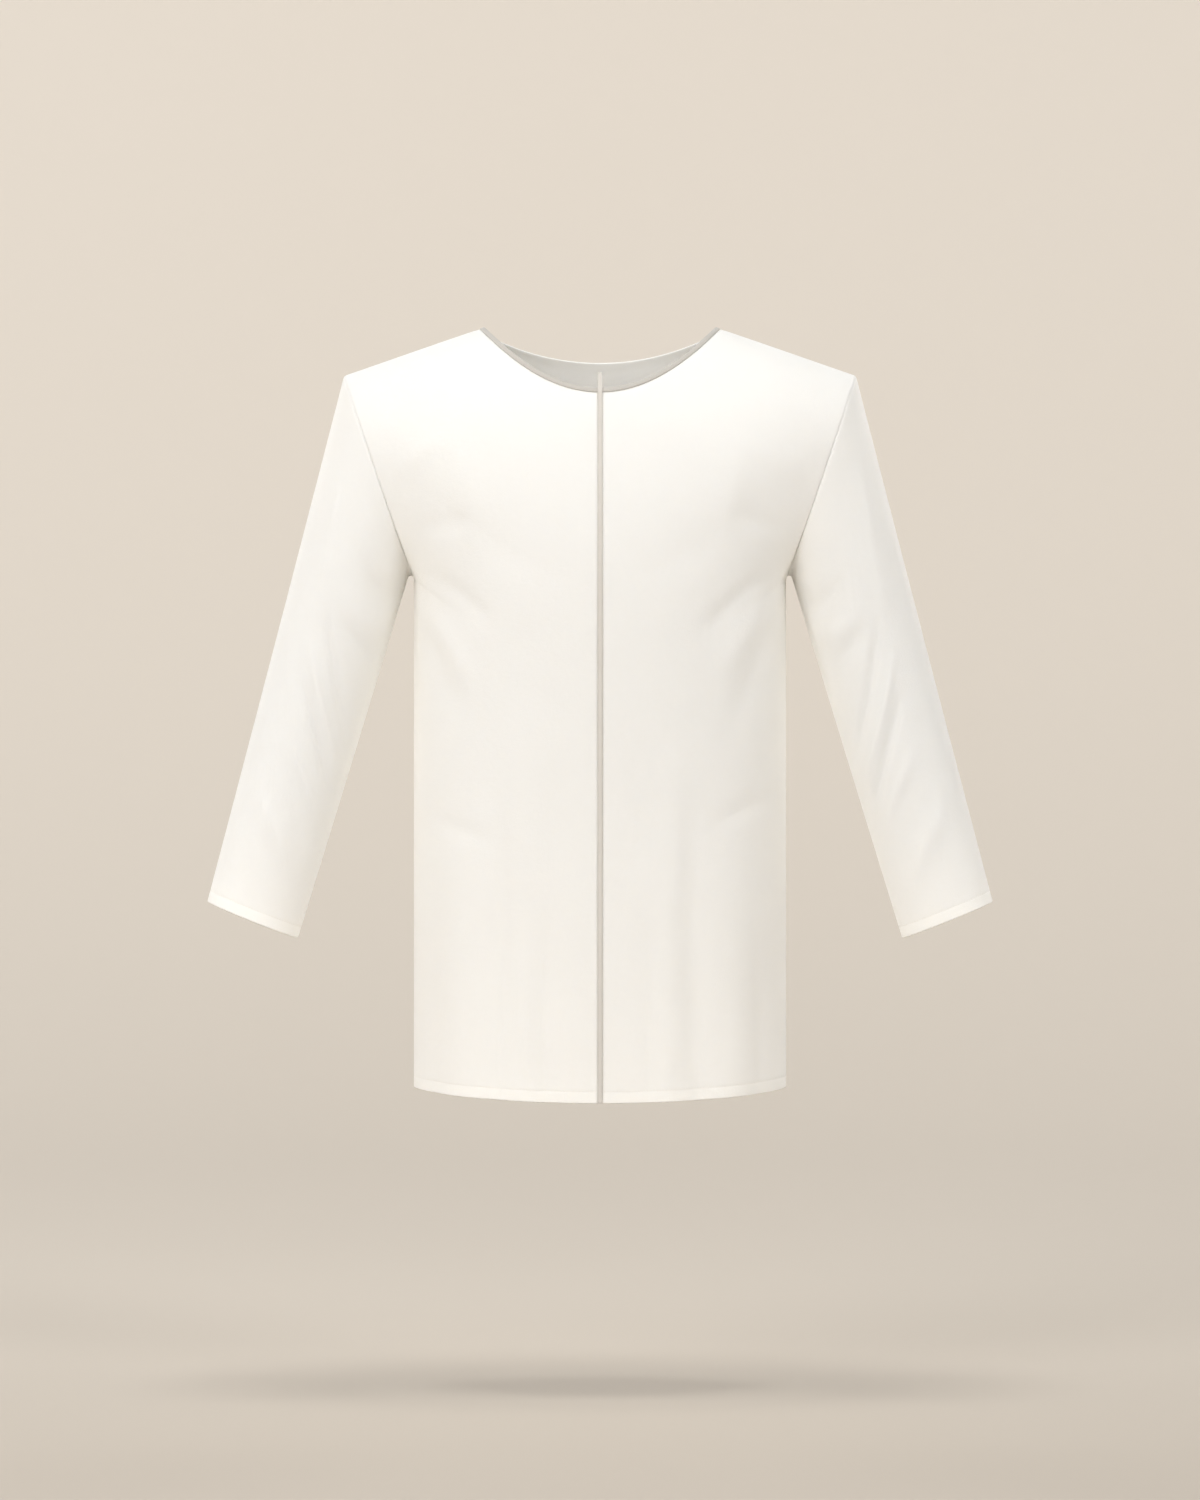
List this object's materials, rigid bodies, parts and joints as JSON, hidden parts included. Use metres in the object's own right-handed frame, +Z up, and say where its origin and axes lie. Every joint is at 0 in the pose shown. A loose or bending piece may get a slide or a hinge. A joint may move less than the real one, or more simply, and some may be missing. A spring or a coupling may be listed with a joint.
{
  "type": "round-neck long-sleeved blouse",
  "caption": "Plain collarless long-sleeved blouse, hollow and filled out with no wearer, with a narrow grey band at the front neck edge and a narrow grey tape down the centre front.",
  "frame": {"origin": "centred between the two shoulder points of the neck opening, at their height", "axes": "+Z up, the front faces -Y, +X towards the wearer's left sleeve"},
  "size_m": [0.741, 0.2363, 0.7294],
  "materials": {
    "cloth": "soft ivory crepe with a faint sheen",
    "tape": "matt stone-grey cotton tape"
  },
  "bodies": {
    "root": {"front_left": "cloth", "front_right": "cloth", "back": "cloth", "sleeve_left": "cloth", "sleeve_right": "cloth", "neckband": "tape", "front_tape": "tape"}
  },
  "joints": []
}
